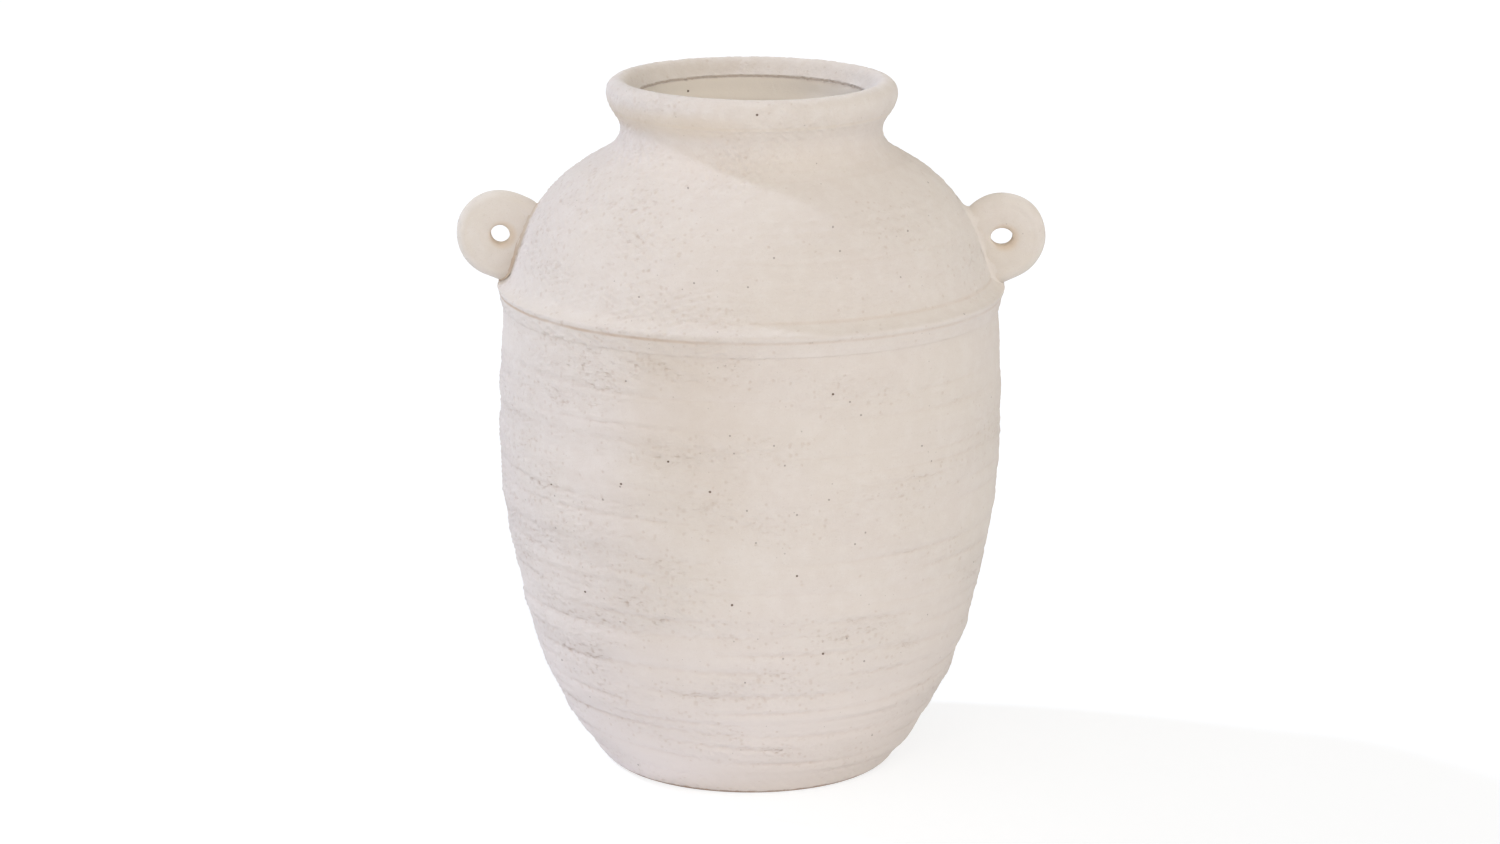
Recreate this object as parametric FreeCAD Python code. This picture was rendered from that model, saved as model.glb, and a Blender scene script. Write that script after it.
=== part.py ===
import FreeCAD, Part
import os

from FreeCAD import Vector

# A potter's storage jar, built up from thrown and modelled pieces of clay that are luted together.
# Millimetres, +Z up, origin at the centre of the flat underside, the two pierced lugs on the X axis.
# Every piece of the wall is a section turned about Z, and neighbours share the same outline.

# Base slab: a flat disc of clay, trimmed to the slope of the wall, whose lower edge is the foot of the jar
foot_radius = 59.2
heel_width = 9.8
slab_thickness = 10.8

# Lower body: the tall thrown wall that stands on the slab
wall_height = 186.7
belly_radius = 106.0
wall_top_inset = 1.6
wall_thickness = 6.2
wall_foot_width = 9.0

# Key between wall and slab: a ring under the wall that is pressed into a groove in the slab
key_width = 3.0
key_depth = 2.0
key_inset = 3.9

# Shoulder dome: the thrown upper section, stepped into the top of the lower body
ledge_width = 1.6
dome_rise = 58.8
upper_wall = 5.0
body_step_depth = 3.0
body_step_width = 2.6

# Shoulder band: the raised cordon that is laid round the joint of body and dome
band_height = 16.2
band_lean = 4.2
band_edge = 0.8
band_foot_overhang = 0.4
lip_height = 8.8
lip_overhang = 3.0
lip_edge = 0.9
lip_edge_slope = 0.2

# Neck collar: the short waisted neck, which flares out under the rim
neck_bore_radius = 49.7
neck_height = 7.4
neck_flare = 3.1
tongue_height = 5.6
tongue_width = 4.3

# Rim roll: a thick coil folded over the tongue of the neck, with a bevelled mouth
rim_height = 13.6
rim_overhang = 3.0
mouth_lip = 1.0
mouth_lip_edge = 1.5

# Lugs: two thick discs with a finger hollow and a cord hole through the middle
lug_radius = 18.5
lug_thickness = 9.6
lug_hole_radius = 4.0
lug_hollow_width = 4.4
lug_hollow_depth = 1.4
lug_rise = 29.3
lug_reach = 9.7
lug_key_depth = 1.2

# Lug seams: soft clay worked into the angle between lug and wall
seam_width = 1.8
seam_height = 1.6

# Joint coils: thin rolls of clay pressed over the joints on the inside
base_coil_radius = 4.5
base_coil_lift = 1.5
body_coil_radius = 4.5
body_coil_inset = 1.0

# Outline points, as shares: how far across from one corner to the other, then how far up
heel_outline_shares = ((0.172, 0.093), (0.531, 0.463))
wall_outline_shares = ((0.169, 0.049), (0.349, 0.114), (0.528, 0.194), (0.677, 0.285), (0.797, 0.387),
                       (0.910, 0.499), (0.984, 0.622), (1.0, 0.746), (0.989, 0.874), (0.969, 0.949))
flare_outline_share = (0.35, 0.66)
dome_outline_shares = ((0.898, 0.228), (0.769, 0.432), (0.610, 0.575), (0.450, 0.687))
neck_joint_share = (0.266, 0.779)
neck_outline_shares = ((0.117, 0.847), (0.038, 0.910))
neck_flare_share = (0.32, 0.55)
rim_outline_shares = ((0.893, 0.206), (0.983, 0.434), (1.0, 0.603), (0.959, 0.772),
                      (0.793, 0.934), (0.537, 1.0), (0.339, 0.904), (0.140, 0.676))
bevel_outline_share = (0.38, 0.5)
hollow_middle_share = 0.62

# Heights of the joints, each stacked on the one below
body_joint_z = slab_thickness + wall_height
band_top_z = body_joint_z + band_height
waist_z = band_top_z + dome_rise
rim_seat_z = waist_z + neck_height
tongue_top_z = rim_seat_z + tongue_height
lug_z = body_joint_z + lug_rise

# Radii that follow from the driving ones
slab_radius = foot_radius + heel_width
wall_foot_radius = slab_radius - wall_foot_width
wall_top_radius = belly_radius - wall_top_inset
wall_inner_radius = wall_top_radius - wall_thickness
dome_foot_radius = wall_top_radius - ledge_width
dome_inner_radius = dome_foot_radius - upper_wall
body_step_radius = dome_inner_radius + body_step_width
band_top_radius = wall_top_radius - band_lean
waist_radius = neck_bore_radius + upper_wall
rim_seat_radius = waist_radius + neck_flare
rim_radius = rim_seat_radius + rim_overhang
mouth_radius = neck_bore_radius - mouth_lip

whole_turn = 360.0
half_turn = 180.0
jar_centre = Vector(0, 0, 0)
jar_axis = Vector(0, 0, 1)
lug_axis = Vector(0, 1, 0)


def at(radius, height):
    """A point of a section, drawn in the plane of X and Z."""
    return Vector(radius, 0, height)


def between(start, end, shares):
    """The point that lies the given shares of the way across and up from start to end."""
    across, up = shares
    return at(start.x + across * (end.x - start.x), start.z + up * (end.z - start.z))


def smooth(points):
    """One smooth curve through the points, drawn upwards."""
    curve = Part.BSplineCurve()
    curve.interpolate(points)
    return curve


def stretch(curve, first, last):
    """The edge along a curve between two of its points."""
    low, high = sorted((curve.parameter(first), curve.parameter(last)))
    return curve.toShape(low, high)


def straight(*points):
    """Straight edges from each point to the next."""
    return [Part.makeLine(a, b) for a, b in zip(points, points[1:])]


def arc(first, middle, last):
    return Part.Arc(first, middle, last).toShape()


def beside(curve, point, distance):
    """The point at a distance outwards from a point of an outline."""
    along = curve.tangent(curve.parameter(point))[0]
    return point + Vector(along.z, 0, -along.x) * distance


def face_of(edges):
    return Part.Face(Part.Wire(Part.sortEdges(edges)[0]))


def turned(edges):
    """The solid that a closed section sweeps about the jar's axis."""
    return face_of(edges).revolve(jar_centre, jar_axis, whole_turn)


# Outside of foot and wall, from the floor up to the joint with the dome
foot_edge = at(foot_radius, 0)
slab_edge = at(slab_radius, slab_thickness)
belly_corner = at(belly_radius, body_joint_z)
wall_points = [between(slab_edge, belly_corner, shares) for shares in wall_outline_shares]
wall_top = at(wall_top_radius, body_joint_z)
heel_points = [between(foot_edge, slab_edge, shares) for shares in heel_outline_shares]
lower_outline = smooth([foot_edge] + heel_points + [slab_edge] + wall_points + [wall_top])

# Inside of the wall, a wall's thickness in from the outside
wall_foot = at(wall_foot_radius, slab_thickness)
wall_step = at(wall_inner_radius, body_joint_z - body_step_depth)
lower_lining = smooth([wall_foot]
                      + [beside(lower_outline, point, -wall_thickness) for point in wall_points]
                      + [wall_step])

# Outside of band, dome and neck, from the lip of the band up to the seat of the rim
band_lip = at(wall_top_radius + lip_overhang, body_joint_z + lip_height)
band_top = at(band_top_radius, band_top_z)
flare_point = between(band_top, band_lip, flare_outline_share)
waist = at(waist_radius, waist_z)
dome_low = at(waist_radius, band_top_z)
dome_high = at(band_top_radius, waist_z)
dome_points = [between(dome_low, dome_high, shares) for shares in dome_outline_shares]
neck_joint = between(dome_low, dome_high, neck_joint_share)
neck_points = [between(dome_low, dome_high, shares) for shares in neck_outline_shares]
rim_seat = at(rim_seat_radius, rim_seat_z)
neck_flare_point = between(waist, rim_seat, neck_flare_share)
upper_outline = smooth([band_lip, flare_point, band_top] + dome_points + [neck_joint]
                       + neck_points + [waist, neck_flare_point, rim_seat])

# Inside of dome and neck
dome_step = at(dome_inner_radius, body_joint_z - body_step_depth)
neck_joint_inside = beside(upper_outline, neck_joint, -upper_wall)
waist_inside = at(neck_bore_radius, waist_z)
upper_lining = smooth([dome_step]
                      + [beside(upper_outline, point, -upper_wall) for point in [band_top] + dome_points]
                      + [neck_joint_inside]
                      + [beside(upper_outline, point, -upper_wall) for point in neck_points]
                      + [waist_inside])

# Corners of the stepped joint between body and dome, and of the neck's seat on the dome
body_step_top = at(body_step_radius, body_joint_z)
body_step_floor = at(body_step_radius, body_joint_z - body_step_depth)
dome_foot = at(dome_foot_radius, body_joint_z)
neck_corner = at(neck_joint_inside.x, neck_joint.z)

# Corners of the key ring under the wall
key_outer_radius = slab_radius - key_inset
key_inner_radius = key_outer_radius - key_width
key_floor_z = slab_thickness - key_depth
key_ring = straight(slab_edge, at(key_outer_radius, slab_thickness), at(key_outer_radius, key_floor_z),
                    at(key_inner_radius, key_floor_z), at(key_inner_radius, slab_thickness))


def base_slab():
    key_end = at(key_inner_radius, slab_thickness)
    centre_top = at(0, slab_thickness)
    heel = stretch(lower_outline, foot_edge, slab_edge)
    return turned([heel] + key_ring + straight(key_end, centre_top, jar_centre, foot_edge))


def lower_body():
    key_end = at(key_inner_radius, slab_thickness)
    outside = stretch(lower_outline, slab_edge, wall_top)
    inside = stretch(lower_lining, wall_foot, wall_step)
    step = straight(wall_top, body_step_top, body_step_floor, wall_step)
    return turned([outside] + step + [inside] + straight(wall_foot, key_end) + key_ring)


def dome_shell():
    """The shoulder before the lugs are pressed into it."""
    outside = stretch(upper_outline, band_top, neck_joint)
    inside = stretch(upper_lining, dome_step, neck_joint_inside)
    behind_band = straight(band_top, at(band_top_radius - band_edge, band_top_z), dome_foot)
    foot = straight(dome_foot, body_step_top, body_step_floor, dome_step)
    seat = straight(neck_joint_inside, neck_corner, neck_joint)
    return turned([outside] + behind_band + foot + [inside] + seat)


def band_ring():
    """The cordon before the lugs are pressed into it."""
    top = stretch(upper_outline, band_lip, band_top)
    lip_under = at(band_lip.x - lip_edge_slope, band_lip.z - lip_edge)
    band_foot = at(wall_top_radius + band_foot_overhang, body_joint_z)
    bevel = arc(lip_under, between(band_foot, lip_under, bevel_outline_share), band_foot)
    back = straight(band_foot, dome_foot, at(band_top_radius - band_edge, band_top_z), band_top)
    return turned([top, bevel] + straight(band_lip, lip_under) + back)


def neck_collar():
    outside = stretch(upper_outline, neck_joint, rim_seat)
    inside = stretch(upper_lining, neck_joint_inside, waist_inside)
    tongue = straight(waist_inside, at(neck_bore_radius, tongue_top_z),
                      at(neck_bore_radius + tongue_width, tongue_top_z),
                      at(neck_bore_radius + tongue_width, rim_seat_z), rim_seat)
    foot = straight(neck_joint, neck_corner, neck_joint_inside)
    return turned([outside, inside] + tongue + foot)


def rim_roll():
    low = at(mouth_radius, rim_seat_z)
    high = at(rim_radius, rim_seat_z + rim_height)
    mouth_edge = at(mouth_radius, tongue_top_z + mouth_lip_edge)
    roll = smooth([rim_seat] + [between(low, high, shares) for shares in rim_outline_shares] + [mouth_edge])
    under = straight(mouth_edge, at(mouth_radius, tongue_top_z),
                     at(neck_bore_radius + tongue_width, tongue_top_z),
                     at(neck_bore_radius + tongue_width, rim_seat_z), rim_seat)
    return turned([roll.toShape()] + under)


def filled_upper(distance):
    """All that lies within the outside of band, dome and neck, grown outwards by a distance."""
    outline_points = [band_lip, flare_point, band_top] + dome_points + [neck_joint]
    grown = [beside(upper_outline, point, distance) for point in outline_points]
    foot = at(grown[0].x, body_joint_z)
    top = at(0, grown[-1].z)
    return turned([smooth(grown).toShape()] + straight(grown[-1], top, at(0, body_joint_z), foot, grown[0]))


def round_edged(radius, half, faces_and_middle):
    """A disc turned about Y, from its half-round edge and the edges that close the section."""
    edge = arc(Vector(radius - half, -half, 0), Vector(radius, 0, 0), Vector(radius - half, half, 0))
    return face_of([edge] + faces_and_middle).revolve(jar_centre, lug_axis, whole_turn)


def plain_disc(radius, thickness):
    """A solid round-edged disc across the Y axis, centred on the origin."""
    half = thickness / 2
    flat = radius - half
    return round_edged(radius, half, straight(Vector(flat, half, 0), Vector(0, half, 0),
                                              Vector(0, -half, 0), Vector(flat, -half, 0)))


def pierced_disc():
    """The lug as it is modelled by hand, before it is pressed on to the jar."""
    half = lug_thickness / 2
    hollow_radius = lug_hole_radius + lug_hollow_width
    sides = []
    for side in (1, -1):
        hole_edge = Vector(lug_hole_radius, side * (half - lug_hollow_depth), 0)
        hollow_middle = Vector((lug_hole_radius + hollow_radius) / 2,
                               side * (half - lug_hollow_depth * hollow_middle_share), 0)
        hollow_edge = Vector(hollow_radius, side * half, 0)
        sides.append(arc(hole_edge, hollow_middle, hollow_edge))
        sides += straight(hollow_edge, Vector(lug_radius - half, side * half, 0))
    bore_end = half - lug_hollow_depth
    bore = straight(Vector(lug_hole_radius, bore_end, 0), Vector(lug_hole_radius, -bore_end, 0))
    return round_edged(lug_radius, half, sides + bore)


def lug_centre():
    """The middle of the right lug's hole, out from the dome's surface at that height."""
    level = Part.LineSegment(at(0, lug_z), at(belly_radius + lug_radius, lug_z))
    surface = upper_outline.intersectCC(level)[0]
    return at(surface.X + lug_reach, lug_z)


def opposite(solid):
    """A copy of a right-hand piece on the other side of the jar."""
    copy = solid.copy()
    copy.rotate(jar_centre, jar_axis, half_turn)
    return copy


def right_lug():
    lug = pierced_disc().translated(lug_centre())
    return lug.cut(filled_upper(-lug_key_depth))


def right_lug_seam(vessel, lug):
    bead = plain_disc(lug_radius + seam_width, lug_thickness + seam_width * 2).translated(lug_centre())
    return bead.common(filled_upper(seam_height)).cut([vessel, lug])


def base_joint_coil(neighbours):
    roll = Part.makeTorus(wall_foot_radius, base_coil_radius, at(0, slab_thickness + base_coil_lift), jar_axis)
    return roll.cut(neighbours)


def body_joint_coil(neighbours):
    roll = Part.makeTorus(dome_inner_radius - body_coil_inset, body_coil_radius,
                          at(0, body_joint_z - body_step_depth / 2), jar_axis)
    return roll.cut(neighbours)


slab = base_slab()
wall = lower_body()
lug = right_lug()
both_lugs = [lug, opposite(lug)]
dome = dome_shell().cut(both_lugs)
band = band_ring().cut(both_lugs)
seam = right_lug_seam(filled_upper(0), lug)

pieces = {
    "base_slab": slab,
    "lower_body": wall,
    "shoulder_dome": dome,
    "shoulder_band": band,
    "neck_collar": neck_collar(),
    "rim_roll": rim_roll(),
    "right_lug": lug,
    "left_lug": opposite(lug),
    "right_lug_seam": seam,
    "left_lug_seam": opposite(seam),
    "base_joint_coil": base_joint_coil([slab, wall]),
    "body_joint_coil": body_joint_coil([wall, dome]),
}

os.makedirs("parts", exist_ok=True)
for name, shape in pieces.items():
    shape.exportStep("parts/" + name + ".step")
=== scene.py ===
import math

import bmesh
import bpy
import numpy as np
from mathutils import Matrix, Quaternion, Vector


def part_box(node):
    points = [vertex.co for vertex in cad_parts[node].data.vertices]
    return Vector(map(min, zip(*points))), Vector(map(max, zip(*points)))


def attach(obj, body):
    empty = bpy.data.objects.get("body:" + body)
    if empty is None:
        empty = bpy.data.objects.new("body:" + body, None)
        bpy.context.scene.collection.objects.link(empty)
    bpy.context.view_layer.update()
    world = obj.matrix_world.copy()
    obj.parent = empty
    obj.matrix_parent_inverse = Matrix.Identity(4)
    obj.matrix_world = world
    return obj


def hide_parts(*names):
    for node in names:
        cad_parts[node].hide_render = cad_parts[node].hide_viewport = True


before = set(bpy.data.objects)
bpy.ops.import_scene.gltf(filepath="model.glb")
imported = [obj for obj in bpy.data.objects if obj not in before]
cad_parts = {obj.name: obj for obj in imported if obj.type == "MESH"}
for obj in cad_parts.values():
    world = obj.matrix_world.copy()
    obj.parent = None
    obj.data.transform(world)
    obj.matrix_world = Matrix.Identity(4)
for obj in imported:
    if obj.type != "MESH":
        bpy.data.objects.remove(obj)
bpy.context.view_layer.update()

# Base slab
# The foot is a flat disc of clay, patted out by hand and cut from the wheel with a wire.
# Its edge is trimmed to the slope of the wall, which is luted into a groove on its upper face.
mm = 0.001
whole_turn = 2 * math.pi
slab_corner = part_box("base_slab")[1]
slab_radius, slab_thickness = slab_corner.x, slab_corner.z
belly_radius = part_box("lower_body")[1].x
body_joint_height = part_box("lower_body")[1].z
wall_top_inset = 1.6 * mm
wall_top = (belly_radius - wall_top_inset, body_joint_height)
foot_edge = (59.2 * mm, 0)
slab_edge = (slab_radius, slab_thickness)
heel_outline_shares = ((0.172, 0.093), (0.531, 0.463))
wall_outline_shares = ((0.169, 0.049), (0.349, 0.114), (0.528, 0.194), (0.677, 0.285), (0.797, 0.387),
                       (0.910, 0.499), (0.984, 0.622), (1.0, 0.746), (0.989, 0.874), (0.969, 0.949))
key_inset = 3.9 * mm
key_width = 3.0 * mm
key_depth = 2.0 * mm
slab_columns = 480
heel_step = 0.45 * mm
floor_step = 1.1 * mm
underside_step = 2.5 * mm
line_samples = 1500


def between(start, end, *shares):
    """The points that lie the given shares of the way across and up from start to end."""
    return [tuple(a + share * (b - a) for a, b, share in zip(start, end, pair)) for pair in shares]


def lengths_along(points):
    """How far along a line each of its points lies."""
    return np.concatenate(([0], np.cumsum(np.linalg.norm(np.diff(points, axis=0), axis=1))))


def unit(vectors):
    """The same directions, each one long."""
    return vectors / np.linalg.norm(vectors, axis=1, keepdims=True)


def smooth_line(points):
    """Closely spaced points of the smooth curve that passes through a few (radius, height) points."""
    points = np.array(points, float)
    knots = lengths_along(points)
    last = len(points) - 1
    system = np.eye(len(points))
    target = np.zeros(points.shape)
    for i in range(1, last):
        before, after = knots[i] - knots[i - 1], knots[i + 1] - knots[i]
        system[i, i - 1:i + 2] = before, 2 * (before + after), after
        target[i] = 6 * ((points[i + 1] - points[i]) / after - (points[i] - points[i - 1]) / before)
    bend = np.linalg.solve(system, target)
    along = np.linspace(0, knots[-1], line_samples)
    i = np.clip(np.searchsorted(knots, along, side="right") - 1, 0, last - 1)
    gap = (knots[i + 1] - knots[i])[:, None]
    b = (along - knots[i])[:, None] / gap
    a = 1 - b
    return (a * points[i] + b * points[i + 1]
            + ((a ** 3 - a) * bend[i] + (b ** 3 - b) * bend[i + 1]) * gap ** 2 / 6)


def spaced(points, step):
    """The same line with points evenly spaced, no more than a step apart."""
    points = np.array(points, float)
    along = lengths_along(points)
    count = max(2, math.ceil(along[-1] / step) + 1)
    wanted = np.linspace(0, along[-1], count)
    return np.stack([np.interp(wanted, along, points[:, i]) for i in (0, 1)], axis=1)


class Outline:
    """A smooth line drawn upwards through a few points of a section."""

    def __init__(self, points):
        self.line = smooth_line(points)
        self.run = unit(np.gradient(self.line, axis=0))

    def radius_at(self, height):
        return np.interp(height, self.line[:, 1], self.line[:, 0])

    def beside(self, height, distance):
        """The point at a distance outwards from the line, square to it."""
        across = np.interp(height, self.line[:, 1], self.run[:, 0])
        up = np.interp(height, self.line[:, 1], self.run[:, 1])
        return (self.radius_at(height) + distance * up, height - distance * across)

    def stretch(self, low, high, step):
        """The part of the line between two heights, evenly spaced."""
        inside = self.line[(self.line[:, 1] > low) & (self.line[:, 1] < high)]
        ends = [(self.radius_at(low), low)], [(self.radius_at(high), high)]
        return spaced(np.concatenate((ends[0], inside, ends[1])), step)


wall_points = between(slab_edge, (belly_radius, body_joint_height), *wall_outline_shares)
lower_outline = Outline([foot_edge] + between(foot_edge, slab_edge, *heel_outline_shares) + [slab_edge]
                        + wall_points + [wall_top])


def hand_waves(seed, count, around, upright):
    """Random waves that close up round the jar, given their shortest and longest lengths round and up it."""
    draw = np.random.default_rng(seed)
    lengths = np.exp(draw.uniform(math.log(around[0]), math.log(around[1]), count))
    turns = np.round(whole_turn * belly_radius / lengths)
    rises = whole_turn / np.exp(draw.uniform(math.log(upright[0]), math.log(upright[1]), count))
    rises *= draw.choice((-1, 1), count)
    starts = draw.uniform(0, whole_turn, count)

    def wave(turn, height):
        total = np.zeros(np.broadcast(turn, height).shape)
        for k, rise, start in zip(turns, rises, starts):
            total += np.cos(k * turn + rise * height + start)
        return total / math.sqrt(count / 2)

    return wave


wobble = hand_waves(1, 12, (150 * mm, 900 * mm), (70 * mm, 300 * mm))
swells = hand_waves(2, 14, (500 * mm, 3000 * mm), (13 * mm, 26 * mm))
wander = hand_waves(3, 8, (300 * mm, 1400 * mm), (28 * mm, 110 * mm))
patches = hand_waves(4, 24, (70 * mm, 420 * mm), (7 * mm, 28 * mm))
turning = hand_waves(5, 26, (500 * mm, 3000 * mm), (2.4 * mm, 5 * mm))
lumps = hand_waves(6, 90, (4 * mm, 14 * mm), (2 * mm, 6 * mm))
grazes = hand_waves(7, 16, (80 * mm, 500 * mm), (25 * mm, 120 * mm))
wobble_depth = 0.14 * mm
swell_depth = 0.20 * mm
wander_depth = 1.5 * mm
ring_pitch = 7.4 * mm
groove_depth = 0.36 * mm
groove_half_width = 1.45 * mm
shelf_depth = 0.17 * mm
shelf_edge = 1.1 * mm
turning_depth = 0.026 * mm
lump_depth = 0.042 * mm
flat_below = 4 * mm
ring_heights = [z * mm for z in (2, 10, 66, 112, 158, 182, 197, 215, 255, 265)]
ring_strength_shares = (0, 1.55, 1.45, 1, 1, 0.7, 0.45, 0.35, 0.35, 0)
rough_lump_share = 2.4
calm_side = math.radians(-84)
calm_half = math.radians(30)
calm_share = 0.68
calm_heights = (62 * mm, 105 * mm)
rough_side = math.radians(-165)
rough_side_power = 2.5
rough_heights = [z * mm for z in (0, 25, 60, 120, 200, 235, 260)]
rough_low_shares = (0.1, 0.4, 0.5, 0.12, 0.08, 0.1, 0)
graze_share = 0.28
worn_middle_share, worn_spread_share, worn_most_share = 0.62, 0.48, 1.4


def roughness_of(turn, height):
    """Where the wet hand tore the coarse clay: one side of the jar more than the other."""
    side = 0.5 + 0.5 * np.cos(turn - rough_side)
    low = np.interp(height, rough_heights, rough_low_shares)
    return np.clip(low + (1 - low) * side ** rough_side_power + graze_share * grazes(turn, height), 0, 1)


def turn_from(middle, turn):
    """The angle from one place round a ring to another, the short way."""
    return (turn - middle + math.pi) % whole_turn - math.pi


def thrown_relief(turn, height):
    """How far a thrown face stands out: wobble, swells, shelved spiral grooves, turning lines and lumps."""
    strength = np.interp(height, ring_heights, ring_strength_shares)
    calm = np.exp(-(turn_from(calm_side, turn) / calm_half) ** 2)
    strength = strength * (1 - calm_share * calm * np.interp(height, calm_heights, (0, 1)))
    spiral = (height + wander_depth * wander(turn, height)) / ring_pitch + turn / whole_turn
    step = spiral - np.round(spiral)
    worn = np.clip(worn_middle_share + worn_spread_share * patches(turn, height), 0, worn_most_share)
    grooves = groove_depth * np.exp(-(step * ring_pitch / groove_half_width) ** 2)
    eased = np.minimum(1, np.abs(step) * ring_pitch / shelf_edge)
    shelves = shelf_depth * (step - 0.5 * np.sign(step)) * eased
    relief = (wobble_depth * wobble(turn, height) + strength * swell_depth * swells(turn, height)
              - strength * worn * (grooves + shelves) + turning_depth * turning(turn, height)
              + lump_depth * (1 + rough_lump_share * roughness_of(turn, height)) * lumps(turn, height))
    return relief * np.clip(height / flat_below, 0, 1)


hollow_rows = 9


def ring_points(points, relief, turns):
    """Radius and height of every vertex on one run of a section, with its relief."""
    run = unit(np.gradient(points, axis=0))
    depth = np.zeros((len(points), len(turns)))
    if relief:
        depth = relief(turns[None, :], points[:, 1][:, None])
    radius = points[:, 0][:, None] + run[:, 1][:, None] * depth
    height = points[:, 1][:, None] - run[:, 0][:, None] * depth
    kernel = np.ones(hollow_rows) / hollow_rows
    padded = np.pad(depth, ((hollow_rows // 2, hollow_rows // 2), (0, 0)), mode="edge")
    around = np.apply_along_axis(lambda column: np.convolve(column, kernel, "valid"), 0, padded)
    return np.stack((radius, height, (around - depth) / mm), axis=2)


def grid_faces(rows, columns, closed=True):
    """The row, column and four corners of every face in a grid of points that joins up across."""
    i, j = np.meshgrid(np.arange(rows if closed else rows - 1), np.arange(columns), indexing="ij")
    up, on = (i + 1) % rows, (j + 1) % columns
    corners = np.stack((i * columns + j, i * columns + on, up * columns + on, up * columns + j), axis=2)
    return i, j, corners.reshape(-1, 4)


def linked(name, data):
    """A new object, put into the scene."""
    thing = bpy.data.objects.new(name, data)
    bpy.context.scene.collection.objects.link(thing)
    return thing


def turned_piece(name, runs, columns, closed=True):
    """A mesh turned from the runs of its section, each a line and its relief, up the outside first."""
    turns = np.arange(columns) * whole_turn / columns + math.pi / 2
    rings = []
    corners = set()
    for points, relief in runs:
        made = list(ring_points(np.array(points, float), relief, turns))
        if rings and relief:
            rings[-1] = made[0]
        rings += made[1:] if rings else made
        corners.add(len(rings) - 1)
    if closed:
        joined = rings.pop()
        if runs[-1][1]:
            rings[0] = joined
        corners = {corner % len(rings) for corner in corners}
    rings = np.array(rings)
    radius, height, hollow = np.moveaxis(rings, 2, 0)
    places = np.stack((radius * np.cos(turns), radius * np.sin(turns), height), axis=2).reshape(-1, 3)
    i, j, faces = grid_faces(len(rings), columns, closed)
    mesh = bpy.data.meshes.new(name)
    mesh.from_pydata(places.tolist(), [], faces.tolist())
    length = lengths_along(np.concatenate((rings, rings[:1]))[:, 0, :2])
    length /= length[-1] if closed else length[-2]
    across = np.stack((j, j + 1, j + 1, j), axis=2) / columns
    along = np.stack((length[i], length[i], length[i + 1], length[i + 1]), axis=2)
    sheet = np.stack((across, along), axis=3).ravel().astype(np.float32)
    mesh.uv_layers.new(name="OFBake").data.foreach_set("uv", sheet)
    for label, values in (("hollow", hollow), ("rough", roughness_of(turns[None, :], height))):
        values = values.ravel().astype(np.float32)
        mesh.attributes.new(label, "FLOAT", "POINT").data.foreach_set("value", values)
    ends = np.zeros(len(mesh.edges) * 2, np.int32)
    mesh.edges.foreach_get("vertices", ends)
    ring_of = ends.reshape(-1, 2) // columns
    sharp = (ring_of[:, 0] == ring_of[:, 1]) & np.isin(ring_of[:, 0], list(corners))
    mesh.attributes.new("sharp_edge", "BOOLEAN", "EDGE").data.foreach_set("value", sharp)
    mesh.shade_smooth()
    return linked(name, mesh)


on_axis = 0.0001 * mm
hub_reach = 0.001 * mm


def close_hubs(piece):
    """Draws the rings that lie on the axis together into one point each."""
    work = bmesh.new()
    work.from_mesh(piece.data)
    hub = [v for v in work.verts if math.hypot(v.co.x, v.co.y) < on_axis]
    bmesh.ops.remove_doubles(work, verts=hub, dist=hub_reach)
    work.to_mesh(piece.data)
    work.free()


def settle(piece, finish, slot, *nodes):
    """Gives a piece its finish and its place on the jar, in the stead of the plain solid."""
    piece.data.materials.append(finish)
    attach(piece, "root")
    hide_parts(*nodes)


def add(tree, kind, inputs, **settings):
    """A node with its settings, and its inputs set to a value or joined to another node's output."""
    node = tree.nodes.new(kind)
    for name, value in settings.items():
        setattr(node, name, value)
    for socket, value in inputs.items():
        if isinstance(value, bpy.types.NodeSocket):
            tree.links.new(value, node.inputs[socket])
        else:
            node.inputs[socket].default_value = value
    return node


def math_of(tree, operation, *values, clamp=False):
    return add(tree, "ShaderNodeMath", dict(enumerate(values)), operation=operation,
               use_clamp=clamp).outputs[0]


def product_of(tree, first, *others):
    """Several values multiplied together."""
    for value in others:
        first = math_of(tree, "MULTIPLY", first, value)
    return first


def parts_of(tree, place):
    """A place as its X, Y and Z."""
    return add(tree, "ShaderNodeSeparateXYZ", {"Vector": place}).outputs


mix_first, mix_second, mix_result = 6, 7, 2


def blend_of(tree, share, first, second):
    """One colour laid over another by a share."""
    inputs = {"Factor": share, mix_first: first, mix_second: second}
    return add(tree, "ShaderNodeMix", inputs, data_type="RGBA").outputs[mix_result]


def noise_of(tree, place, scale, detail, roughness=0.5):
    return add(tree, "ShaderNodeTexNoise", {"Vector": place, "Scale": scale, "Detail": detail,
                                            "Roughness": roughness}).outputs["Fac"]


def ramp_of(tree, value, low, high, start=0.0, end=1.0):
    """A value carried from one range to another, with soft ends."""
    return add(tree, "ShaderNodeMapRange", {"Value": value, "From Min": low, "From Max": high,
                                            "To Min": start, "To Max": end},
               interpolation_type="SMOOTHSTEP").outputs["Result"]


def new_group(name, colours, values=(), gives=("Color",), kind="Color"):
    """An empty node group that takes a place and its named colours and values."""
    tree = bpy.data.node_groups.new(name, "ShaderNodeTree")
    sockets = [("Place", "INPUT", "Vector")] + [(label, "INPUT", "Color") for label in colours]
    sockets += [(label, "INPUT", "Float") for label in values]
    sockets += [(label, "OUTPUT", kind) for label in gives]
    for label, way, kind in sockets:
        tree.interface.new_socket(name=label, in_out=way, socket_type="NodeSocket" + kind)
    entry = tree.nodes.new("NodeGroupInput")
    return tree, entry.outputs, tree.nodes.new("NodeGroupOutput")


def finish_group(tree, out, **outputs):
    for label, value in outputs.items():
        tree.links.new(value, out.inputs[label])
    return tree


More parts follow.
